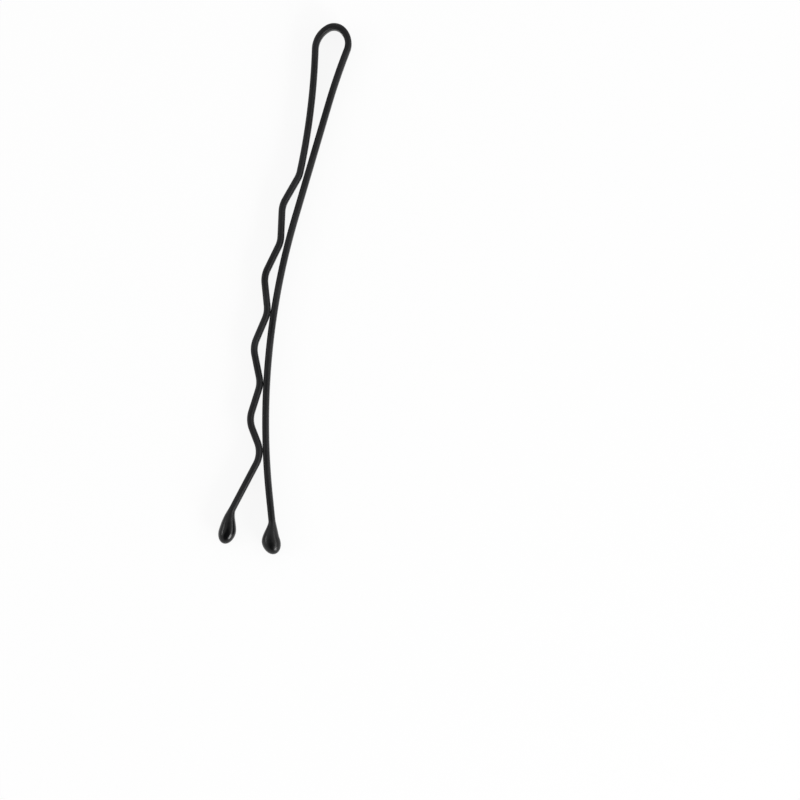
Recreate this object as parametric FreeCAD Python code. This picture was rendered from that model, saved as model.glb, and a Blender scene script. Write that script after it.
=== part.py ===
import FreeCAD, Part
import math
import os
from collections import namedtuple

# Hair pin bent from one flat, round-edged spring wire, with a resin bead dipped on each end.
# It lies on its side: +Z is square to the plane of the bends, and +Y runs along the pin to its loop.
# The wavy leg is on the -X side of the straight leg. The origin is under the middle of the pin.
# Lengths are in millimetres and angles in degrees.

# Wire
WIRE_WIDTH = 1.30  # across the flat, along Z
WIRE_THICKNESS = 0.64  # in the plane of the bends

# Straight leg, from the loop to its bead
STRAIGHT_LEAN = 7.2  # of the flat run, off the pin's long axis
NECK_RADIUS = 62.0  # gentle bend just below the loop
NECK_TURN = 5.0
FLAT_RUN = 11.4
BOW_RADIUS = 69.5  # long bow that carries the tip outwards
END_RUN = 2.3  # straight length in front of the bead
STRAIGHT_REACH = 6.72  # from the last crest's touch to the bead

# Loop, a tight crown between two rounder shoulders
STRAIGHT_SHOULDER_RADIUS = 1.78
STRAIGHT_SHOULDER_TURN = 65.0
CROWN_RADIUS = 1.20
CROWN_TURN = 76.0
WAVY_SHOULDER_RADIUS = 2.40

# Wavy leg, set out from the straight leg that its crests press on
UPPER_BOW_RADIUS = 66.5
FIRST_CREST = 12.6  # along the straight leg, from the loop
CREST_PITCH = 6.8
CREST_COUNT = 5
LAST_CREST_LIFT = 0.42  # nearer to the loop than the pitch puts it
CLEAR_CREST_COUNT = 2  # crests next to the loop, which stand a little clear
CLEAR_CREST_GAP = 0.14
CREST_GAP = 0.03
TROUGH_GAP = 0.81
WAVE_RADIUS = 2.5
FLARE_ANGLE = 30.05  # of the tip, off the straight leg
FLARE_RUN = 4.83  # from the last bend to the bead

# Beads. A lean or a belly towards the other leg is positive.
SOCKET_DEPTH = 1.00  # of wire inside the bead
BEAD_SKIN = 0.04  # resin round the wire at the neck
BEAD_FILL = 0.85  # below 1 the bead swells soon after its neck
BEAD_SECTIONS = 7
STRAIGHT_BEAD_WALL = 0.24  # resin over the wire's edges where the bead is fattest
STRAIGHT_BEAD_TAPER = 2.05  # from the neck to the fattest place
STRAIGHT_BEAD_NOSE = 1.23  # from there to the end
STRAIGHT_BEAD_LEAN = -14.5  # of the nose, off the wire
STRAIGHT_BEAD_BELLY = 0.29  # of the fattest place, off the wire's line
WAVY_BEAD_WALL = 0.18
WAVY_BEAD_TAPER = 2.21
WAVY_BEAD_NOSE = 1.20
WAVY_BEAD_LEAN = 9.5
WAVY_BEAD_BELLY = 0.58

QUARTER_BULGE = 0.5523  # handle length that makes a Bezier curve a quarter of an ellipse
SHORTEST_RUN = 0.001
UP = FreeCAD.Vector(0, 0, 1)
TOWARDS_TIPS = FreeCAD.Vector(0, -1, 0)

# A stretch of wire is straight where its turn is 0. A turn to the left is positive.
Stretch = namedtuple("Stretch", "start heading length turn")
# A peg is what the wire is bent round. Its sense is 1 for a left bend and -1 for a right one.
Peg = namedtuple("Peg", "centre radius sense")
Bead = namedtuple("Bead", "radius taper nose lean belly")


def turned(vector, angle):
    return FreeCAD.Rotation(UP, angle).multVec(vector)


def left_of(heading):
    return UP.cross(heading)


def unit(vector):
    return vector / vector.Length


def bend(radius, turn):
    return radius * math.radians(abs(turn)), turn


def run(length):
    return length, 0


def bend_centre(stretch):
    return stretch.start + left_of(stretch.heading) * (stretch.length / math.radians(stretch.turn))


def point_on(stretch, distance):
    """Place and heading on one stretch."""
    if stretch.turn == 0:
        return stretch.start + stretch.heading * distance, stretch.heading
    part_turn = stretch.turn * distance / stretch.length
    centre = bend_centre(stretch)
    return centre + turned(stretch.start - centre, part_turn), turned(stretch.heading, part_turn)


def follow(start, heading, moves):
    """Stretches of wire that the runs and bends make, one after the other."""
    route = []
    for length, turn in moves:
        route.append(Stretch(start, heading, length, turn))
        start, heading = point_on(route[-1], length)
    return route


def end_of(route):
    return point_on(route[-1], route[-1].length)


def length_of(route):
    return sum(stretch.length for stretch in route)


def station(route, distance):
    """Place and heading at a distance along the route."""
    for stretch in route:
        if distance <= stretch.length:
            break
        distance -= stretch.length
    return point_on(stretch, distance)


def crest_station(number):
    even = FIRST_CREST + number * CREST_PITCH
    return even - LAST_CREST_LIFT if number == CREST_COUNT - 1 else even


def straight_route():
    """Centre line of the straight leg, from the loop to the wire's end."""
    whole = crest_station(CREST_COUNT - 1) + STRAIGHT_REACH + SOCKET_DEPTH
    neck = bend(NECK_RADIUS, NECK_TURN)
    end_run = END_RUN + SOCKET_DEPTH
    bow_length = whole - neck[0] - FLAT_RUN - end_run
    bow = bend(BOW_RADIUS, math.degrees(bow_length / BOW_RADIUS))
    heading = turned(TOWARDS_TIPS, -STRAIGHT_LEAN - NECK_TURN)
    return follow(FreeCAD.Vector(), heading, [neck, run(FLAT_RUN), bow, run(end_run)])


def beside(straight, distance, gap):
    """Point on the wavy leg's side of the straight leg, the gap being between centre lines."""
    place, heading = station(straight, distance)
    return place - left_of(heading) * gap


def wave_pegs(straight):
    """Pegs of the crests, which press on the straight leg, and of the troughs between them."""
    pegs = []
    for number in range(CREST_COUNT):
        gap = CLEAR_CREST_GAP if number < CLEAR_CREST_COUNT else CREST_GAP
        crest = beside(straight, crest_station(number), WIRE_THICKNESS + gap + WAVE_RADIUS)
        pegs.append(Peg(crest, WAVE_RADIUS, -1))
        if number < CREST_COUNT - 1:
            half_way = crest_station(number) + CREST_PITCH / 2
            trough = beside(straight, half_way, WIRE_THICKNESS + TROUGH_GAP - WAVE_RADIUS)
            pegs.append(Peg(trough, WAVE_RADIUS, 1))
    return pegs


def upper_bow_peg(shoulder, crest):
    """Large peg that touches the loop's shoulder from outside and the first crest from inside."""
    to_shoulder = UPPER_BOW_RADIUS + shoulder.radius
    to_crest = UPPER_BOW_RADIUS - crest.radius
    span = crest.centre - shoulder.centre
    along = (span.Length**2 + to_shoulder**2 - to_crest**2) / (2 * span.Length)
    aside = math.sqrt(to_shoulder**2 - along**2)
    direction = unit(span)
    return Peg(shoulder.centre + direction * along - left_of(direction) * aside, UPPER_BOW_RADIUS, -1)


def taut_run(peg, other):
    """Heading and length of the straight wire between two pegs."""
    span = other.centre - peg.centre
    offset = other.sense * other.radius - peg.sense * peg.radius
    slope = max(-1.0, min(1.0, offset / span.Length))
    heading = turned(unit(span), -math.degrees(math.asin(slope)))
    return heading, span.Length * math.sqrt(1 - slope**2)


def turn_between(heading, other):
    return math.degrees(math.atan2(heading.cross(other).z, heading.dot(other)))


def moves_round(pegs, heading, last_heading, last_run):
    """Bends round each peg, and the runs between them, that keep the wire taut."""
    headings = [heading]
    lengths = []
    for peg, other in zip(pegs, pegs[1:]):
        next_heading, length = taut_run(peg, other)
        headings.append(next_heading)
        lengths.append(length)
    headings.append(last_heading)
    lengths.append(last_run)
    moves = []
    for number, peg in enumerate(pegs):
        moves.append(bend(peg.radius, turn_between(headings[number], headings[number + 1])))
        if lengths[number] > SHORTEST_RUN:
            moves.append(run(lengths[number]))
    return moves


def loop_and_wavy_routes(straight):
    """Centre lines of the loop and of the wavy leg, which starts where the loop's last bend ends."""
    shoulder = bend(STRAIGHT_SHOULDER_RADIUS, STRAIGHT_SHOULDER_TURN)
    crown = bend(CROWN_RADIUS, CROWN_TURN)
    loop = follow(straight[0].start, -straight[0].heading, [shoulder, crown])
    place, heading = end_of(loop)
    far_shoulder = Peg(place + left_of(heading) * WAVY_SHOULDER_RADIUS, WAVY_SHOULDER_RADIUS, 1)
    wave = wave_pegs(straight)
    pegs = [far_shoulder, upper_bow_peg(far_shoulder, wave[0])] + wave
    last_touch = station(straight, crest_station(CREST_COUNT - 1))[1]
    flare = turned(last_touch, -FLARE_ANGLE)
    moves = moves_round(pegs, heading, flare, FLARE_RUN + SOCKET_DEPTH)
    loop += follow(place, heading, moves[:1])
    wavy = follow(*end_of(loop), moves[1:])
    return loop, wavy


def closed_oval(centre, across, corner, side, edge):
    """Four arcs round a centre: corner is (across, up), side and edge are the half sizes."""

    def at(out, up):
        return centre + across * out + UP * up

    out, up = corner
    arcs = [
        Part.Arc(at(out, -up), at(side, 0), at(out, up)),
        Part.Arc(at(out, up), at(0, edge), at(-out, up)),
        Part.Arc(at(-out, up), at(-side, 0), at(-out, -up)),
        Part.Arc(at(-out, -up), at(0, -edge), at(out, -up)),
    ]
    return Part.Wire([arc.toShape() for arc in arcs])


def wire_section(place, heading):
    """Flat wire's section: two flats and two round edges, square to the heading."""
    across = left_of(heading) * (WIRE_THICKNESS / 2)
    flat = UP * ((WIRE_WIDTH - WIRE_THICKNESS) / 2)
    edge = UP * (WIRE_WIDTH / 2)
    outline = [
        Part.LineSegment(place + across - flat, place + across + flat),
        Part.Arc(place + across + flat, place + edge, place - across + flat),
        Part.LineSegment(place - across + flat, place - across - flat),
        Part.Arc(place - across - flat, place - edge, place + across - flat),
    ]
    return Part.Face(Part.Wire([piece.toShape() for piece in outline]))


def wire_stretch(stretch):
    section = wire_section(stretch.start, stretch.heading)
    if stretch.turn == 0:
        return section.extrude(stretch.heading * stretch.length)
    axis = UP if stretch.turn > 0 else -UP
    return section.revolve(bend_centre(stretch), axis, abs(stretch.turn))


def wire_along(route):
    """One solid of wire along the whole route."""
    pieces = [wire_stretch(stretch) for stretch in route]
    return pieces[0].fuse(pieces[1:]).removeSplitter().Solids[0]


def mix(low, high, share):
    return low + (high - low) * share


def bead_section(centre, axis, radius, swell):
    """Bead's outline square to its axis: the wire's shape at the neck, a circle where it is fattest."""
    half_thickness = WIRE_THICKNESS / 2 + BEAD_SKIN
    half_width = WIRE_WIDTH / 2 + BEAD_SKIN
    diagonal = radius * math.sqrt(0.5)
    corner = (
        mix(half_thickness, diagonal, swell),
        mix(half_width - half_thickness, diagonal, swell),
    )
    side = mix(half_thickness + BEAD_SKIN / 2, radius, swell)
    edge = mix(half_width, radius, swell)
    return closed_oval(centre, left_of(axis), corner, side, edge)


def bead_nose(centre, axis, bead):
    """Rounded end of the bead, turned about its axis."""
    out = left_of(axis) * bead.radius
    tip = axis * bead.nose
    curve = Part.BezierCurve()
    curve.setPoles(
        [
            centre + out,
            centre + out + tip * QUARTER_BULGE,
            centre + tip + out * QUARTER_BULGE,
            centre + tip,
        ]
    )
    outline = [
        Part.LineSegment(centre, centre + out),
        curve,
        Part.LineSegment(centre + tip, centre),
    ]
    profile = Part.Face(Part.Wire([piece.toShape() for piece in outline]))
    return profile.revolve(centre, axis, 360)


def bead_offset(bead, share):
    """How far the bead's middle line is off the wire's. It leaves along the wire and ends along the lean."""
    slope = bead.taper * math.tan(math.radians(bead.lean))
    return bead.belly * share**2 * (3 - 2 * share) - slope * share**2 * (1 - share)


def bead_on(route, bead, inwards, leg):
    """Bead on the end of a leg. Inwards is 1 where the other leg is on the left, and -1 on the right."""
    end, heading = end_of(route)
    neck = end - heading * SOCKET_DEPTH
    aside = left_of(heading) * inwards
    sections = []
    for number in range(BEAD_SECTIONS):
        share = number / (BEAD_SECTIONS - 1)
        axis = turned(heading, inwards * bead.lean * share)
        centre = neck + heading * (bead.taper * share) + aside * bead_offset(bead, share)
        swell = math.sin(math.pi / 2 * share**BEAD_FILL) ** 2
        sections.append(bead_section(centre, axis, bead.radius, swell))
    body = Part.makeLoft(sections, True, False)
    return body.fuse(bead_nose(centre, axis, bead)).cut(leg).removeSplitter().Solids[0]


straight = straight_route()
loop, wavy = loop_and_wavy_routes(straight)
straight_bead = Bead(
    WIRE_WIDTH / 2 + STRAIGHT_BEAD_WALL,
    STRAIGHT_BEAD_TAPER,
    STRAIGHT_BEAD_NOSE,
    STRAIGHT_BEAD_LEAN,
    STRAIGHT_BEAD_BELLY,
)
wavy_bead = Bead(
    WIRE_WIDTH / 2 + WAVY_BEAD_WALL,
    WAVY_BEAD_TAPER,
    WAVY_BEAD_NOSE,
    WAVY_BEAD_LEAN,
    WAVY_BEAD_BELLY,
)
straight_leg = wire_along(straight)
wavy_leg = wire_along(wavy)
solids = {
    "straight_leg": straight_leg,
    "spring_bend": wire_along(loop),
    "wavy_leg": wavy_leg,
    "straight_leg_tip": bead_on(straight, straight_bead, -1, straight_leg),
    "wavy_leg_tip": bead_on(wavy, wavy_bead, 1, wavy_leg),
}

# The origin goes under the middle of the pin's box
box = Part.makeCompound(list(solids.values())).optimalBoundingBox(False)
to_origin = FreeCAD.Vector(-box.Center.x, -box.Center.y, -box.ZMin)

os.makedirs("parts", exist_ok=True)
for name, solid in solids.items():
    solid.translated(to_origin).exportStep("parts/" + name + ".step")

# What the finished pin measures, and where it springs and is fastened
flat_middle, flat_heading = station(straight, bend(NECK_RADIUS, NECK_TURN)[0] + FLAT_RUN / 2)
grip, grip_heading = station(straight, crest_station(CLEAR_CREST_COUNT))
section_area = wire_section(straight[0].start, straight[0].heading).Area
print("overall", box.XLength, box.YLength, box.ZLength)
print("shift of the loop's start", to_origin)
print("spring axis, through the crown's bend", bend_centre(loop[1]) + to_origin)
flat_normal = left_of(flat_heading)
print("flat face", flat_middle + flat_normal * (WIRE_THICKNESS / 2) + to_origin, flat_normal)
print("grip", grip - left_of(grip_heading) * (WIRE_THICKNESS / 2) + to_origin, grip_heading)
for name, route in (("straight_leg", straight), ("spring_bend", loop), ("wavy_leg", wavy)):
    print(name, "length", length_of(route), "volume", solids[name].Volume, section_area * length_of(route))
for name, solid in solids.items():
    print(name, solid.ShapeType, len(solid.Solids), len(solid.Faces), solid.isValid(), solid.Volume)
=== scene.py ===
import cmath
import math
from collections import namedtuple

import bmesh
import bpy
from mathutils import Euler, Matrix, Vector


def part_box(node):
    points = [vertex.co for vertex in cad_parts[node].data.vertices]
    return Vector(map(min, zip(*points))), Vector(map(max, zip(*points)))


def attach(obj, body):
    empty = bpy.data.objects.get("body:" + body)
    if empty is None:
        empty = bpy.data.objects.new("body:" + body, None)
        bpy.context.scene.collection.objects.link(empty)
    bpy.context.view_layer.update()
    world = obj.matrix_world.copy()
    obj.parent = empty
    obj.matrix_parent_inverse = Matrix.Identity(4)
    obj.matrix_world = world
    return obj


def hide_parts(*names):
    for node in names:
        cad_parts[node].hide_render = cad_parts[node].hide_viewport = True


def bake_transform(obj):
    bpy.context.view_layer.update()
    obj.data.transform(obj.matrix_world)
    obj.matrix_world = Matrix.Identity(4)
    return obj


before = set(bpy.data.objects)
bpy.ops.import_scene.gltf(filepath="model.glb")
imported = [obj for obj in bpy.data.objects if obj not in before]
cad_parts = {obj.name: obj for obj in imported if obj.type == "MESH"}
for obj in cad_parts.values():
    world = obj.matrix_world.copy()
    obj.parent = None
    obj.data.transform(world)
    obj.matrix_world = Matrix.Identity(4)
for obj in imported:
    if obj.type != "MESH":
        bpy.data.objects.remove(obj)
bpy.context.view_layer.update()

# Bobby pin: a flat, round-edged spring wire bent double, black lacquered, with a resin bead on each end.
# It lies on its side, with its bends in the XY plane and its loop towards +Y.
# Lengths are in metres and angles in degrees. A place or heading in the XY plane is a complex number.

MM = 0.001
PER_MM = (1 / MM, 1 / MM, 1 / MM)

# Wire
WIRE_WIDTH = 1.30 * MM  # across the flat, along Z
WIRE_THICKNESS = 0.64 * MM  # in the plane of the bends

# Straight leg, from the loop to its bead
STRAIGHT_LEAN = 7.2
NECK_RADIUS = 62.0 * MM
NECK_TURN = 5.0
FLAT_RUN = 11.4 * MM
BOW_RADIUS = 69.5 * MM
END_RUN = 2.3 * MM
STRAIGHT_REACH = 6.72 * MM

# Loop, a tight crown between two rounder shoulders
STRAIGHT_SHOULDER_RADIUS = 1.78 * MM
STRAIGHT_SHOULDER_TURN = 65.0
CROWN_RADIUS = 1.20 * MM
CROWN_TURN = 76.0
WAVY_SHOULDER_RADIUS = 2.40 * MM

# Wavy leg, set out from the straight leg that its crests press on
UPPER_BOW_RADIUS = 66.5 * MM
FIRST_CREST = 12.6 * MM
CREST_PITCH = 6.8 * MM
CREST_COUNT = 5
LAST_CREST_LIFT = 0.42 * MM
CLEAR_CREST_COUNT = 2
CLEAR_CREST_GAP = 0.14 * MM
CREST_GAP = 0.03 * MM
TROUGH_GAP = 0.81 * MM
WAVE_RADIUS = 2.5 * MM
FLARE_ANGLE = 30.05
FLARE_RUN = 4.83 * MM

# Beads. A lean or a belly towards the other leg is positive.
SOCKET_DEPTH = 1.00 * MM
BEAD_FILL = 0.85  # below 1 the bead swells soon after its neck
RESIN_FEATHER = 0.006 * MM  # resin left on the wire where the bead thins out
RESIN_EASE = 0.5 * MM  # length past the wire's end in which the resin stops following the wire
STRAIGHT_BEAD_WALL = 0.24 * MM
STRAIGHT_BEAD_TAPER = 2.05 * MM
STRAIGHT_BEAD_NOSE = 1.23 * MM
STRAIGHT_BEAD_LEAN = -14.5
STRAIGHT_BEAD_BELLY = 0.29 * MM
WAVY_BEAD_WALL = 0.18 * MM
WAVY_BEAD_TAPER = 2.21 * MM
WAVY_BEAD_NOSE = 1.20 * MM
WAVY_BEAD_LEAN = 9.5
WAVY_BEAD_BELLY = 0.58 * MM

# How finely the pieces are drawn
STEP_TURN = 2.0
STEP_LENGTH = 0.4 * MM
WIRE_SIDES = 48
BEAD_SIDES = 72
TAPER_RINGS = 48
NOSE_RINGS = 28
SHORTEST_RUN = 0.001 * MM

# Finishes. Sizes of marks are in millimetres, as the finishes' own coordinates are.
LACQUER_DARK = (0.007, 0.007, 0.0075)
LACQUER_PALE = (0.017, 0.017, 0.018)
LACQUER_SCUFF = (0.036, 0.036, 0.037)
LACQUER_ROUGHNESS = (0.36, 0.48)
LACQUER_IOR = 1.25
LACQUER_CLOUD = 1.1
LACQUER_RIPPLE = 0.16
LACQUER_RIPPLE_HEIGHT = 0.001 * MM
LACQUER_SCUFF_SIZE = 0.5
LACQUER_SCUFF_COVER = 0.12
DRAW_LINE = 0.045
DRAW_LINE_HEIGHT = 0.0006 * MM
DRAW_LINE_DETAIL = 2.0
DRAW_LINE_GRAIN = 0.5
DRAWN_OUT = (0.35, 1, 1)  # distances along the wire are shortened, so marks come out longer along it
DRAWN_FAR = (0.08, 1, 1)  # the same for the draw lines, which are far longer
RESIN_DARK = (0.0015, 0.0015, 0.0018)
RESIN_PALE = (0.004, 0.004, 0.0045)
POLISHED_ROUGHNESS = (0.14, 0.20)
RUBBED_ROUGHNESS = (0.27, 0.35)
RESIN_IOR = 1.36
RESIN_CLOUD = 0.9
RESIN_RIPPLE = 0.55
RESIN_RIPPLE_HEIGHT = 0.006 * MM
RESIN_SCUFF_SIZE = 0.3
RESIN_SCUFF_COVER = 0.1
SCUFF_ROUGHNESS = 0.12
POLISHED_GLOSS = (0.05, 0.60)  # shares of the bead's taper where its gloss begins and is full
RUBBED_GLOSS = (0.25, 0.90)

# Marks that both finishes share. Detail is the noise's finer layers, and grain how strong they are.
CLOUD_DETAIL = 3.0
RIPPLE_DETAIL = 1.0
DIP_GRAIN = 0.5
DIP_RANGE = (0.3, 0.7)  # noise that counts as none and as full
SCUFF_DETAIL = 5.0
SCUFF_GRAIN = 0.65
SCUFF_START = 0.72  # noise above which a surface with no cover is scuffed
SCUFF_GAIN = 0.4  # how far full cover lowers that start
SCUFF_EDGE = 0.08  # noise from the start of a scuff to its full strength

# Studio
WHITE = (1, 1, 1, 1)
FLOOR_HALF = 1.2
FLOOR_COLOUR = (0.95, 0.95, 0.95)
BACKDROP_SHARE = 0.90  # of the floor's white that doesn't depend on the light
ROOM_LEVEL = 0.86
SHADE_LEVEL = 0.03  # of the room's dark side, above the pin
SHADE_LEAN = 30.0  # of the dark side's middle, from overhead towards the foot of the picture
SHADE_CORE = 25.0  # the dark side is even to this angle from its middle, and ends at the next one
SHADE_EDGE = 48.0
OVERHEAD = 90.0
FOOT_BEARING = -90.0  # of the foot of the picture. Bearings are from its right, counter-clockwise.
LAMP_DISTANCE = 0.5
WINDOW_WIDTH = 0.22
WINDOW_HEIGHT = 0.19
WINDOW_BEARING = -48.0
WINDOW_ELEVATION = 20.0
WINDOW_POWER = 1.6
STRIP_WIDTH = 0.50
STRIP_HEIGHT = 0.09
STRIP_BEARING = -12.0
STRIP_ELEVATION = 29.0
STRIP_POWER = 0.50
FAR_WIDTH = 0.22
FAR_HEIGHT = 0.10
FAR_BEARING = 182.0
FAR_ELEVATION = 26.0
FAR_POWER = 0.32

# The photograph's frame
PHOTO_SIZE = 800
PIXELS_PER_METRE = 10.43 / MM
LOOP_START_PIXEL_X = 347.0
LOOP_START_PIXEL_Y = 50.4
PHOTO_ROLL = 9.2
LENS = 100.0
SENSOR = 36.0
CAMERA_NEAR = 0.01  # nearer than this nothing is drawn

TOWARDS_TIPS = -1j

# A turn to the left is positive. A peg's sense is 1 where the wire turns left round it, and -1 to the right.
Stretch = namedtuple("Stretch", "start heading length turn")
Peg = namedtuple("Peg", "centre radius sense")
Bead = namedtuple("Bead", "radius taper nose lean belly")


# Route of the wire

def turned(direction, angle):
    return direction * cmath.rect(1, math.radians(angle))


def left_of(heading):
    return 1j * heading


def bend(radius, turn):
    """Move along the wire: its length, and the angle that it turns through."""
    return radius * math.radians(abs(turn)), turn


def run(length):
    return length, 0


def bend_centre(stretch):
    return stretch.start + left_of(stretch.heading) * (stretch.length / math.radians(stretch.turn))


def point_on(stretch, distance):
    """Place and heading on one stretch."""
    if stretch.turn == 0:
        return stretch.start + stretch.heading * distance, stretch.heading
    part_turn = stretch.turn * distance / stretch.length
    centre = bend_centre(stretch)
    return centre + turned(stretch.start - centre, part_turn), turned(stretch.heading, part_turn)


def follow(start, heading, moves):
    """Stretches of wire that the runs and bends make, one after the other."""
    route = []
    for length, turn in moves:
        route.append(Stretch(start, heading, length, turn))
        start, heading = point_on(route[-1], length)
    return route


def end_of(route):
    return point_on(route[-1], route[-1].length)


def length_of(route):
    return sum(stretch.length for stretch in route)


def station(route, distance):
    """Place and heading at a distance along the route."""
    for stretch in route:
        if distance <= stretch.length:
            break
        distance -= stretch.length
    return point_on(stretch, distance)


def crest_station(number):
    even = FIRST_CREST + number * CREST_PITCH
    return even - LAST_CREST_LIFT if number == CREST_COUNT - 1 else even


def straight_route(start):
    """Centre line of the straight leg, from the loop to the wire's end."""
    whole = crest_station(CREST_COUNT - 1) + STRAIGHT_REACH + SOCKET_DEPTH
    neck = bend(NECK_RADIUS, NECK_TURN)
    end_run = END_RUN + SOCKET_DEPTH
    bow_length = whole - neck[0] - FLAT_RUN - end_run
    bow = bend(BOW_RADIUS, math.degrees(bow_length / BOW_RADIUS))
    heading = turned(TOWARDS_TIPS, -STRAIGHT_LEAN - NECK_TURN)
    return follow(start, heading, [neck, run(FLAT_RUN), bow, run(end_run)])


def beside(straight, distance, gap):
    """Point on the wavy leg's side of the straight leg."""
    place, heading = station(straight, distance)
    return place - left_of(heading) * gap


def wave_pegs(straight):
    """Pegs of the crests, which press on the straight leg, and of the troughs between them."""
    pegs = []
    for number in range(CREST_COUNT):
        gap = CLEAR_CREST_GAP if number < CLEAR_CREST_COUNT else CREST_GAP
        crest = beside(straight, crest_station(number), WIRE_THICKNESS + gap + WAVE_RADIUS)
        pegs.append(Peg(crest, WAVE_RADIUS, -1))
        if number < CREST_COUNT - 1:
            half_way = crest_station(number) + CREST_PITCH / 2
            trough = beside(straight, half_way, WIRE_THICKNESS + TROUGH_GAP - WAVE_RADIUS)
            pegs.append(Peg(trough, WAVE_RADIUS, 1))
    return pegs


def upper_bow_peg(shoulder, crest):
    """Large peg that touches the loop's shoulder from outside and the first crest from inside."""
    to_shoulder = UPPER_BOW_RADIUS + shoulder.radius
    to_crest = UPPER_BOW_RADIUS - crest.radius
    span = crest.centre - shoulder.centre
    along = (abs(span) ** 2 + to_shoulder**2 - to_crest**2) / (2 * abs(span))
    aside = math.sqrt(to_shoulder**2 - along**2)
    direction = span / abs(span)
    return Peg(shoulder.centre + direction * along - left_of(direction) * aside, UPPER_BOW_RADIUS, -1)


def taut_run(peg, other):
    """Heading and length of the straight wire between two pegs."""
    span = other.centre - peg.centre
    offset = other.sense * other.radius - peg.sense * peg.radius
    slope = max(-1.0, min(1.0, offset / abs(span)))
    heading = turned(span / abs(span), -math.degrees(math.asin(slope)))
    return heading, abs(span) * math.sqrt(1 - slope**2)


def turn_between(heading, other):
    return math.degrees(cmath.phase(other / heading))


def moves_round(pegs, heading, last_heading, last_run):
    """Bends round each peg, and the runs between them, that keep the wire taut."""
    runs = [taut_run(peg, other) for peg, other in zip(pegs, pegs[1:])]
    runs.append((last_heading, last_run))
    moves = []
    for peg, (next_heading, length) in zip(pegs, runs):
        moves.append(bend(peg.radius, turn_between(heading, next_heading)))
        if length > SHORTEST_RUN:
            moves.append(run(length))
        heading = next_heading
    return moves


def loop_and_wavy_routes(straight):
    """Centre lines of the loop and of the wavy leg, which starts where the loop's last bend ends."""
    shoulder = bend(STRAIGHT_SHOULDER_RADIUS, STRAIGHT_SHOULDER_TURN)
    crown = bend(CROWN_RADIUS, CROWN_TURN)
    loop = follow(straight[0].start, -straight[0].heading, [shoulder, crown])
    place, heading = end_of(loop)
    far_shoulder = Peg(place + left_of(heading) * WAVY_SHOULDER_RADIUS, WAVY_SHOULDER_RADIUS, 1)
    wave = wave_pegs(straight)
    pegs = [far_shoulder, upper_bow_peg(far_shoulder, wave[0])] + wave
    last_touch = station(straight, crest_station(CREST_COUNT - 1))[1]
    moves = moves_round(pegs, heading, turned(last_touch, -FLARE_ANGLE), FLARE_RUN + SOCKET_DEPTH)
    loop += follow(place, heading, moves[:1])
    return loop, follow(*end_of(loop), moves[1:])


def walk(route):
    """Places along a route, close enough together for a smooth wire."""
    places = []
    for stretch in route:
        count = math.ceil(max(abs(stretch.turn) / STEP_TURN, stretch.length / STEP_LENGTH))
        places += [point_on(stretch, stretch.length * number / count)[0] for number in range(count)]
    return places + [end_of(route)[0]]


def loop_start():
    """Where the frame has the loop's start, going by the box of its loop."""
    places = walk(loop_and_wavy_routes(straight_route(0))[0])
    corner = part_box("spring_bend")[1]
    return complex(
        corner.x - max(place.real for place in places) - WIRE_THICKNESS / 2,
        corner.y - max(place.imag for place in places) - WIRE_THICKNESS / 2,
    )


# Nodes

def add_node(tree, kind, inputs=None, **settings):
    """Adds a node with its settings. An input is a value, or another node's output to link."""
    node = tree.nodes.new(kind)
    for name, value in settings.items():
        setattr(node, name, value)
    for socket, value in (inputs or {}).items():
        if isinstance(value, bpy.types.NodeSocket):
            tree.links.new(value, node.inputs[socket])
        else:
            node.inputs[socket].default_value = value
    return node


def add_math(tree, operation, first, second, **settings):
    node = add_node(tree, "ShaderNodeMath", {0: first, 1: second}, operation=operation, **settings)
    return node.outputs["Value"]


def add_range(tree, value, low, high, new_low=0.0, new_high=1.0, **settings):
    """Value taken from one range to another, and held at its ends."""
    ranges = {"Value": value, "From Min": low, "From Max": high, "To Min": new_low, "To Max": new_high}
    return add_node(tree, "ShaderNodeMapRange", ranges, **settings).outputs["Result"]


def add_noise(tree, place, scale, detail, roughness):
    inputs = {"Vector": place, "Scale": scale, "Detail": detail, "Roughness": roughness}
    return add_node(tree, "ShaderNodeTexNoise", inputs).outputs["Fac"]


def add_scaled(tree, vector, factors):
    node = add_node(tree, "ShaderNodeVectorMath", {0: vector, 1: factors}, operation="MULTIPLY")
    return node.outputs["Vector"]


def add_tones(tree, share, dark, pale):
    """Colour between two, each a constant or another node's output."""
    ends = {"A": dark, "B": pale}
    for socket, colour in ends.items():
        if isinstance(colour, tuple):
            ends[socket] = (*colour, 1)
    node = add_node(tree, "ShaderNodeMix", {"Factor": share, **ends}, data_type="RGBA")
    return node.outputs["Result"]


def add_bump(tree, height, distance, **under):
    """Normal with bumps, laid over the normal under it where one is given."""
    inputs = {"Height": height, "Distance": distance, **under}
    return add_node(tree, "ShaderNodeBump", inputs).outputs["Normal"]


def add_group(tree, group, inputs):
    return add_node(tree, "ShaderNodeGroup", inputs, node_tree=group).outputs


def new_group(kind, name, inputs, outputs):
    """Node group with named sockets. Returns it with its input and output nodes."""
    tree = bpy.data.node_groups.new(name, kind)
    for socket, socket_type in inputs.items():
        tree.interface.new_socket(socket, in_out="INPUT", socket_type=socket_type)
    for socket, socket_type in outputs.items():
        tree.interface.new_socket(socket, in_out="OUTPUT", socket_type=socket_type)
    return tree, tree.nodes.new("NodeGroupInput"), tree.nodes.new("NodeGroupOutput")


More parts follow.
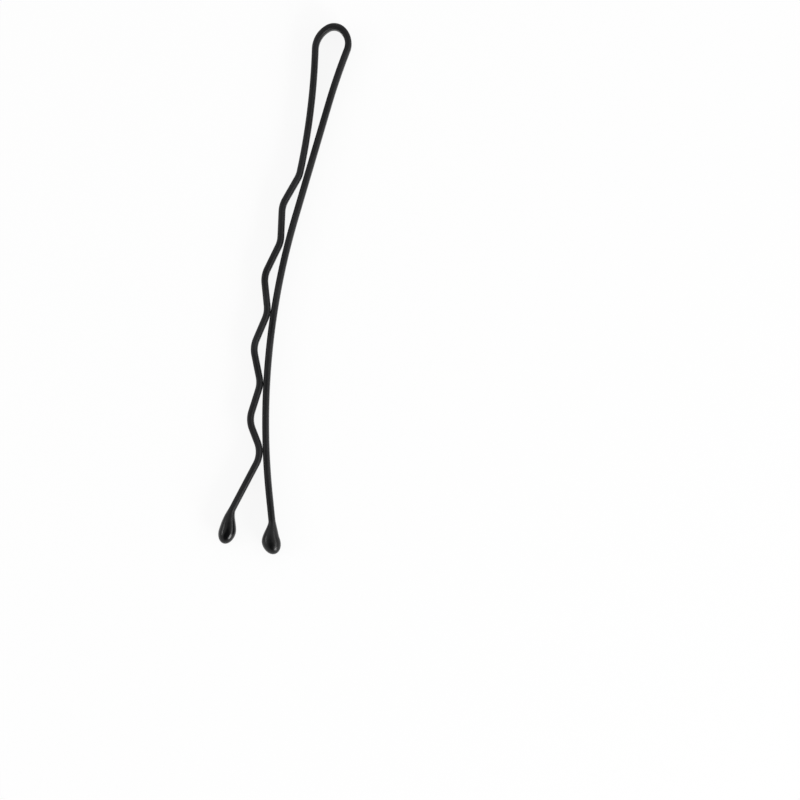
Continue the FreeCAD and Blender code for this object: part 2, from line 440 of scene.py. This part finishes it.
def flat_wire_tree():
    """Sweeps the wire's flat, round-edged section along a route.
    Stores lie: the distance along the wire, and the place in its section, in millimetres."""
    sizes = {
        "Route": "NodeSocketGeometry",
        "Width": "NodeSocketFloat",
        "Thickness": "NodeSocketFloat",
        "Sides": "NodeSocketInt",
        "Starts At": "NodeSocketFloat",
        "Finish": "NodeSocketMaterial",
    }
    results = {"Wire": "NodeSocketGeometry"}
    tree, given, made = new_group("GeometryNodeTree", "flat_wire", sizes, results)
    given = given.outputs

    line = add_node(tree, "GeometryNodeMeshToCurve", {"Mesh": given["Route"]})
    line = add_node(tree, "GeometryNodeSetCurveNormal", {"Curve": line.outputs["Curve"]}, mode="Z_UP")
    distance = add_node(tree, "GeometryNodeSplineParameter")
    marked_line = add_node(tree, "GeometryNodeCaptureAttribute")
    marked_line.capture_items.new("FLOAT", "Along")
    tree.links.new(line.outputs["Curve"], marked_line.inputs["Geometry"])
    tree.links.new(distance.outputs["Length"], marked_line.inputs["Along"])

    # A circle of the thickness, whose halves move apart to leave flats between them
    half_thickness = add_math(tree, "DIVIDE", given["Thickness"], 2.0)
    flat = add_math(tree, "DIVIDE", add_math(tree, "SUBTRACT", given["Width"], given["Thickness"]), 2.0)
    circle = add_node(
        tree, "GeometryNodeCurvePrimitiveCircle", {"Resolution": given["Sides"], "Radius": half_thickness}
    )
    place = add_node(tree, "GeometryNodeInputPosition").outputs["Position"]
    split = add_node(tree, "ShaderNodeSeparateXYZ", {"Vector": place})
    side = add_math(tree, "SIGN", split.outputs["Y"], 0.0)
    apart = add_node(tree, "ShaderNodeCombineXYZ", {"Y": add_math(tree, "MULTIPLY", side, flat)})
    section = add_node(
        tree,
        "GeometryNodeSetPosition",
        {"Geometry": circle.outputs["Curve"], "Offset": apart.outputs["Vector"]},
    )
    marked_section = add_node(tree, "GeometryNodeCaptureAttribute")
    marked_section.capture_items.new("VECTOR", "Section")
    tree.links.new(section.outputs["Geometry"], marked_section.inputs["Geometry"])
    tree.links.new(place, marked_section.inputs["Section"])

    sweep = add_node(
        tree,
        "GeometryNodeCurveToMesh",
        {
            "Curve": marked_line.outputs["Geometry"],
            "Profile Curve": marked_section.outputs["Geometry"],
            "Fill Caps": True,
        },
    )
    across = add_node(tree, "ShaderNodeSeparateXYZ", {"Vector": marked_section.outputs["Section"]})
    along = add_math(tree, "ADD", marked_line.outputs["Along"], given["Starts At"])
    lie = add_node(
        tree,
        "ShaderNodeCombineXYZ",
        {"X": along, "Y": across.outputs["X"], "Z": across.outputs["Y"]},
    )
    in_millimetres = add_scaled(tree, lie.outputs["Vector"], PER_MM)
    stored = add_node(
        tree,
        "GeometryNodeStoreNamedAttribute",
        {"Geometry": sweep.outputs["Mesh"], "Name": "lie", "Value": in_millimetres},
        data_type="FLOAT_VECTOR",
        domain="POINT",
    )
    real = add_node(tree, "GeometryNodeRealizeInstances", {"Geometry": stored.outputs["Geometry"]})
    finished = add_node(
        tree,
        "GeometryNodeSetMaterial",
        {"Geometry": real.outputs["Geometry"], "Material": given["Finish"]},
    )
    tree.links.new(finished.outputs["Geometry"], made.inputs["Wire"])
    return tree


# Finishes

def dipped_skin_group():
    """What dipping leaves on any surface: cloudy patches, and the faint ripple of a dried skin.
    Place is in millimetres."""
    sockets = {
        "Place": "NodeSocketVector",
        "Cloud Size": "NodeSocketFloat",
        "Ripple Size": "NodeSocketFloat",
    }
    results = {"Cloud": "NodeSocketFloat", "Ripple": "NodeSocketFloat"}
    tree, given, made = new_group("ShaderNodeTree", "dipped_skin", sockets, results)
    for result, detail in (("Cloud", CLOUD_DETAIL), ("Ripple", RIPPLE_DETAIL)):
        scale = add_math(tree, "DIVIDE", 1.0, given.outputs[result + " Size"])
        noise = add_noise(tree, given.outputs["Place"], scale, detail, DIP_GRAIN)
        tree.links.new(add_range(tree, noise, *DIP_RANGE), made.inputs[result])
    return tree


def handling_group():
    """Dull scuffs that handling leaves. Place is in millimetres, and Cover is the share scuffed."""
    sockets = {"Place": "NodeSocketVector", "Scuff Size": "NodeSocketFloat", "Cover": "NodeSocketFloat"}
    results = {"Scuff": "NodeSocketFloat"}
    tree, given, made = new_group("ShaderNodeTree", "handling_scuffs", sockets, results)
    scale = add_math(tree, "DIVIDE", 1.0, given.outputs["Scuff Size"])
    noise = add_noise(tree, given.outputs["Place"], scale, SCUFF_DETAIL, SCUFF_GRAIN)
    lowered = add_math(tree, "MULTIPLY", given.outputs["Cover"], SCUFF_GAIN)
    start = add_math(tree, "SUBTRACT", SCUFF_START, lowered)
    mask = add_range(tree, noise, start, add_math(tree, "ADD", start, SCUFF_EDGE))
    tree.links.new(mask, made.inputs["Scuff"])
    return tree


def new_finish(name):
    """Material with no nodes yet. Returns it with its node tree."""
    finish = bpy.data.materials.new(name)
    finish.use_nodes = True
    finish.node_tree.nodes.clear()
    return finish, finish.node_tree


def add_coat(tree, colour, roughness, normal, ior):
    """Coat of lacquer or resin, as the material's surface."""
    shader = add_node(
        tree,
        "ShaderNodeBsdfPrincipled",
        {"Base Color": colour, "Roughness": roughness, "Normal": normal, "IOR": ior},
    )
    add_node(tree, "ShaderNodeOutputMaterial", {"Surface": shader.outputs["BSDF"]})


def black_lacquer(skin, handling):
    """Satin black lacquer over drawn wire, with the draw lines showing faintly along it."""
    finish, tree = new_finish("black_lacquer")
    lie = add_node(tree, "ShaderNodeAttribute", attribute_name="lie").outputs["Vector"]
    drawn = add_scaled(tree, lie, DRAWN_OUT)
    dip = add_group(
        tree, skin, {"Place": drawn, "Cloud Size": LACQUER_CLOUD, "Ripple Size": LACQUER_RIPPLE}
    )
    wear = add_group(
        tree, handling, {"Place": drawn, "Scuff Size": LACQUER_SCUFF_SIZE, "Cover": LACQUER_SCUFF_COVER}
    )
    far_drawn = add_scaled(tree, lie, DRAWN_FAR)
    draw_lines = add_noise(tree, far_drawn, 1 / DRAW_LINE, DRAW_LINE_DETAIL, DRAW_LINE_GRAIN)

    clouded = add_tones(tree, dip["Cloud"], LACQUER_DARK, LACQUER_PALE)
    colour = add_tones(tree, wear["Scuff"], clouded, LACQUER_SCUFF)
    roughness = add_range(tree, dip["Cloud"], 0.0, 1.0, *LACQUER_ROUGHNESS)
    ripple = add_bump(tree, dip["Ripple"], LACQUER_RIPPLE_HEIGHT)
    lines = add_bump(tree, draw_lines, DRAW_LINE_HEIGHT, Normal=ripple)
    add_coat(tree, colour, roughness, lines, LACQUER_IOR)
    return finish


def black_resin(name, roughness, gloss_from_neck, skin, handling):
    """Black resin, a little uneven where the dip ran and set, and dull where it thins out."""
    finish, tree = new_finish(name)
    place = add_scaled(tree, add_node(tree, "ShaderNodeTexCoord").outputs["Object"], PER_MM)
    dip = add_group(
        tree, skin, {"Place": place, "Cloud Size": RESIN_CLOUD, "Ripple Size": RESIN_RIPPLE}
    )
    wear = add_group(
        tree, handling, {"Place": place, "Scuff Size": RESIN_SCUFF_SIZE, "Cover": RESIN_SCUFF_COVER}
    )
    taper = add_node(tree, "ShaderNodeAttribute", attribute_name="taper").outputs["Fac"]
    gloss = add_range(tree, taper, *gloss_from_neck, interpolation_type="SMOOTHSTEP")

    body = add_tones(tree, dip["Cloud"], RESIN_DARK, RESIN_PALE)
    colour = add_tones(tree, gloss, LACQUER_DARK, body)
    clouded = add_range(tree, dip["Cloud"], 0.0, 1.0, *roughness)
    scuffs = add_math(tree, "MULTIPLY", wear["Scuff"], SCUFF_ROUGHNESS)
    scuffed = add_math(tree, "ADD", clouded, scuffs)
    feathered = add_range(tree, gloss, 0.0, 1.0, LACQUER_ROUGHNESS[0], scuffed)
    ripple = add_bump(tree, dip["Ripple"], RESIN_RIPPLE_HEIGHT)
    add_coat(tree, colour, feathered, ripple, RESIN_IOR)
    return finish


# Pieces

def new_piece(name, mesh):
    piece = bpy.data.objects.new(name, mesh)
    bpy.context.scene.collection.objects.link(piece)
    return piece


def raised(place, up):
    """Point that is up from a place on the wire's middle height."""
    return Vector((place.real, place.imag, wire_height + up))


def wire_piece(name, places, starts_at, tree, finish):
    """Wire along the places, swept by the node tree and made a plain mesh."""
    points = [raised(place, 0) for place in places]
    line = bpy.data.meshes.new(name + "_route")
    line.from_pydata(points, [(number, number + 1) for number in range(len(points) - 1)], [])
    piece = new_piece(name, line)
    sweep = piece.modifiers.new("sweep", "NODES")
    sweep.node_group = tree
    sizes = {
        "Width": WIRE_WIDTH,
        "Thickness": WIRE_THICKNESS,
        "Sides": WIRE_SIDES,
        "Starts At": starts_at,
        "Finish": finish,
    }
    for item in tree.interface.items_tree:
        if item.name in sizes:
            sweep[item.identifier] = sizes[item.name]
    evaluated = piece.evaluated_get(bpy.context.evaluated_depsgraph_get())
    piece.data = bpy.data.meshes.new_from_object(evaluated)
    piece.modifiers.remove(sweep)
    bpy.data.meshes.remove(line)
    return piece


def mix(first, second, share):
    return first + (second - first) * share


def smooth_step(share):
    share = max(0.0, min(1.0, share))
    return share**2 * (3 - 2 * share)


def section_reach(angle, thickness, width):
    """How far a flat, round-edged section reaches from its middle, at an angle from its thickness."""
    radius = thickness / 2
    flat = (width - thickness) / 2
    across = abs(math.cos(angle))
    up = abs(math.sin(angle))
    if radius * up <= flat * across:
        return radius / across
    return flat * up + math.sqrt(radius**2 - (flat * across) ** 2)


def over_wire(place, up, neck, heading):
    """Point of the bead, moved out to the resin's thinnest skin where it would lie in the wire.
    Past the wire's end it is moved less and less."""
    offset = (place - neck) / heading
    angle = math.atan2(up, offset.imag)
    reach = math.hypot(offset.imag, up)
    covered = max(reach, section_reach(angle, WIRE_THICKNESS, WIRE_WIDTH) + RESIN_FEATHER)
    reach = mix(covered, reach, smooth_step((offset.real - SOCKET_DEPTH) / RESIN_EASE))
    place = neck + heading * complex(offset.real, reach * math.cos(angle))
    return raised(place, reach * math.sin(angle))


def bead_offset(bead, share):
    """How far the bead's middle line is off the wire's.
    It leaves along the wire and ends along the lean."""
    slope = bead.taper * math.tan(math.radians(bead.lean))
    return bead.belly * smooth_step(share) - slope * share**2 * (1 - share)


def bead_angles():
    return [2 * math.pi * number / BEAD_SIDES for number in range(BEAD_SIDES)]


def bead_rings(route, bead, inwards):
    """Rings from the neck, where the resin feathers out on the wire, to the nose, and the nose's end.
    Inwards is 1 where the other leg is on the left, and -1 where it is on the right."""
    end, heading = end_of(route)
    neck = end - heading * SOCKET_DEPTH
    aside = left_of(heading) * inwards
    rings = []
    for number in range(TAPER_RINGS):
        share = number / (TAPER_RINGS - 1)
        axis = turned(heading, inwards * bead.lean * share)
        centre = neck + heading * (bead.taper * share) + aside * bead_offset(bead, share)
        swell = math.sin(math.pi / 2 * share**BEAD_FILL) ** 2
        thickness = mix(WIRE_THICKNESS, 2 * bead.radius, swell)
        width = mix(WIRE_WIDTH, 2 * bead.radius, swell)
        points = []
        for angle in bead_angles():
            reach = section_reach(angle, thickness, width)
            place = centre + left_of(axis) * (reach * math.cos(angle))
            points.append(over_wire(place, reach * math.sin(angle), neck, heading))
        rings.append((share, points))
    for number in range(1, NOSE_RINGS):
        rise = math.pi / 2 * number / NOSE_RINGS
        middle = centre + axis * (bead.nose * math.sin(rise))
        reach = bead.radius * math.cos(rise)
        points = []
        for angle in bead_angles():
            place = middle + left_of(axis) * (reach * math.cos(angle))
            points.append(raised(place, reach * math.sin(angle)))
        rings.append((1.0, points))
    return rings, raised(centre + axis * bead.nose, 0)


def bead_piece(name, route, bead, inwards, finish):
    """Resin bead as one closed skin.
    Its taper attribute runs from 0 at the neck to 1 where it is fattest."""
    rings, tip = bead_rings(route, bead, inwards)
    skin = bmesh.new()
    taper = skin.verts.layers.float.new("taper")
    rows = []
    for share, points in rings:
        rows.append([skin.verts.new(point) for point in points])
        for vertex in rows[-1]:
            vertex[taper] = share
    nose = skin.verts.new(tip)
    nose[taper] = 1.0
    for row, other in zip(rows, rows[1:]):
        for number in range(BEAD_SIDES):
            after = (number + 1) % BEAD_SIDES
            skin.faces.new((row[number], row[after], other[after], other[number]))
    for number in range(BEAD_SIDES):
        skin.faces.new((rows[-1][number], rows[-1][(number + 1) % BEAD_SIDES], nose))
    for face in skin.faces:
        face.smooth = True
    skin.faces.new(reversed(rows[0]))
    bmesh.ops.recalc_face_normals(skin, faces=skin.faces)
    mesh = bpy.data.meshes.new(name)
    skin.to_mesh(mesh)
    skin.free()
    mesh.materials.append(finish)
    return new_piece(name, mesh)


def dress_pin():
    """Replaces the frame's plain solids with the finished wire and beads."""
    tree = flat_wire_tree()
    skin = dipped_skin_group()
    handling = handling_group()
    lacquer = black_lacquer(skin, handling)
    polished_resin = black_resin("polished_resin", POLISHED_ROUGHNESS, POLISHED_GLOSS, skin, handling)
    rubbed_resin = black_resin("rubbed_resin", RUBBED_ROUGHNESS, RUBBED_GLOSS, skin, handling)
    straight_sizes = Bead(
        WIRE_WIDTH / 2 + STRAIGHT_BEAD_WALL,
        STRAIGHT_BEAD_TAPER,
        STRAIGHT_BEAD_NOSE,
        STRAIGHT_BEAD_LEAN,
        STRAIGHT_BEAD_BELLY,
    )
    wavy_sizes = Bead(
        WIRE_WIDTH / 2 + WAVY_BEAD_WALL,
        WAVY_BEAD_TAPER,
        WAVY_BEAD_NOSE,
        WAVY_BEAD_LEAN,
        WAVY_BEAD_BELLY,
    )

    # The wire's distances run on from the straight leg's end, round the loop and down the wavy leg
    upwards = walk(straight)[::-1]
    straight_wire = wire_piece("straight_leg_wire", upwards, -length_of(straight), tree, lacquer)
    loop_wire = wire_piece("loop_wire", walk(loop), 0.0, tree, lacquer)
    wavy_wire = wire_piece("wavy_leg_wire", walk(wavy), length_of(loop), tree, lacquer)
    straight_bead = bead_piece("straight_leg_bead", straight, straight_sizes, -1, rubbed_resin)
    wavy_bead = bead_piece("wavy_leg_bead", wavy, wavy_sizes, 1, polished_resin)

    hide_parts("straight_leg")
    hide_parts("spring_bend")
    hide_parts("wavy_leg")
    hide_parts("straight_leg_tip")
    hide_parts("wavy_leg_tip")
    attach(straight_wire, "straight_leg")
    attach(straight_bead, "straight_leg")
    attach(wavy_wire, "wavy_leg")
    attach(wavy_bead, "wavy_leg")

    # The loop's wire stays where it was built, as one piece with its placement baked into its mesh
    wavy_end = end_of(loop)[0].real + WIRE_THICKNESS
    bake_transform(loop_wire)


# Studio

def pale_floor():
    """White floor that still shows a little of the pin's shadow."""
    corners = [(x * FLOOR_HALF, y * FLOOR_HALF, 0) for x, y in ((-1, -1), (1, -1), (1, 1), (-1, 1))]
    mesh = bpy.data.meshes.new("floor")
    mesh.from_pydata(corners, [], [(0, 1, 2, 3)])
    finish, tree = new_finish("pale_floor")
    path = add_node(tree, "ShaderNodeLightPath").outputs
    seen = add_math(tree, "ADD", path["Is Camera Ray"], path["Is Glossy Ray"])
    seen = add_math(tree, "ADD", seen, path["Is Transmission Ray"], use_clamp=True)
    share = add_math(tree, "MULTIPLY", seen, BACKDROP_SHARE)
    paper = add_node(tree, "ShaderNodeBsdfDiffuse", {"Color": (*FLOOR_COLOUR, 1)})
    white = add_node(tree, "ShaderNodeEmission", {"Color": WHITE, "Strength": 1.0})
    mixed = add_node(
        tree, "ShaderNodeMixShader", {0: share, 1: paper.outputs["BSDF"], 2: white.outputs["Emission"]}
    )
    add_node(tree, "ShaderNodeOutputMaterial", {"Surface": mixed.outputs["Shader"]})
    mesh.materials.append(finish)
    floor = new_piece("floor", mesh)


def out_of_picture(bearing, elevation):
    """Direction from the pin. Bearing is from the picture's right, counter-clockwise."""
    flat = turned(1, PHOTO_ROLL + bearing) * math.cos(math.radians(elevation))
    return Vector((flat.real, flat.imag, math.sin(math.radians(elevation))))


def white_room():
    """White all round, but for a dark side where the camera stands."""
    world = bpy.data.worlds.new("studio")
    world.use_nodes = True
    tree = world.node_tree
    tree.nodes.clear()
    direction = add_node(tree, "ShaderNodeTexCoord").outputs["Generated"]
    middle = out_of_picture(FOOT_BEARING, OVERHEAD - SHADE_LEAN)
    nearness = add_node(
        tree, "ShaderNodeVectorMath", {0: direction, 1: middle}, operation="DOT_PRODUCT"
    ).outputs["Value"]
    edge = math.cos(math.radians(SHADE_EDGE))
    core = math.cos(math.radians(SHADE_CORE))
    level = add_range(
        tree, nearness, edge, core, ROOM_LEVEL, SHADE_LEVEL, interpolation_type="SMOOTHSTEP"
    )
    light = add_node(tree, "ShaderNodeBackground", {"Color": WHITE, "Strength": level})
    add_node(tree, "ShaderNodeOutputWorld", {"Surface": light.outputs["Background"]})
    bpy.context.scene.world = world


def soft_lamp(name, bearing, elevation, width, height, power):
    """Soft lamp at a direction from the pin, which it faces."""
    light = bpy.data.lights.new(name, "AREA")
    light.shape = "RECTANGLE"
    light.size = width
    light.size_y = height
    light.energy = power
    outwards = out_of_picture(bearing, elevation)
    lamp = bpy.data.objects.new(name, light)
    lamp.location = outwards * LAMP_DISTANCE
    lamp.rotation_euler = outwards.to_track_quat("Z", "Y").to_euler()
    bpy.context.scene.collection.objects.link(lamp)


def studio_lamps():
    """Low window for the beads' glint, a long strip for their streaks, and a lamp on the far side."""
    soft_lamp("window_lamp", WINDOW_BEARING, WINDOW_ELEVATION, WINDOW_WIDTH, WINDOW_HEIGHT, WINDOW_POWER)
    soft_lamp("strip_lamp", STRIP_BEARING, STRIP_ELEVATION, STRIP_WIDTH, STRIP_HEIGHT, STRIP_POWER)
    soft_lamp("far_lamp", FAR_BEARING, FAR_ELEVATION, FAR_WIDTH, FAR_HEIGHT, FAR_POWER)


def photo_camera():
    """Looks straight down, with the loop's start at its pixel of the photograph."""
    right = turned(1, PHOTO_ROLL)
    aside = (PHOTO_SIZE / 2 - LOOP_START_PIXEL_X) / PIXELS_PER_METRE
    below = (PHOTO_SIZE / 2 - LOOP_START_PIXEL_Y) / PIXELS_PER_METRE
    centre = straight[0].start + right * aside - left_of(right) * below
    data = bpy.data.cameras.new("camera")
    data.lens = LENS
    data.sensor_width = SENSOR
    data.clip_start = CAMERA_NEAR
    distance = PHOTO_SIZE / PIXELS_PER_METRE * LENS / SENSOR
    camera = bpy.data.objects.new("camera", data)
    camera.location = (centre.real, centre.imag, wire_height + distance)
    camera.rotation_euler = Euler((0, 0, math.radians(PHOTO_ROLL)))
    bpy.context.scene.collection.objects.link(camera)
    bpy.context.scene.camera = camera


# Where the frame has the wire, which the pieces and the camera go by
lowest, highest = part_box("straight_leg")
wire_height = (lowest.z + highest.z) / 2
straight = straight_route(loop_start())
loop, wavy = loop_and_wavy_routes(straight)

dress_pin()
pale_floor()
white_room()
studio_lamps()
photo_camera()
bpy.context.scene.view_settings.view_transform = "Standard"
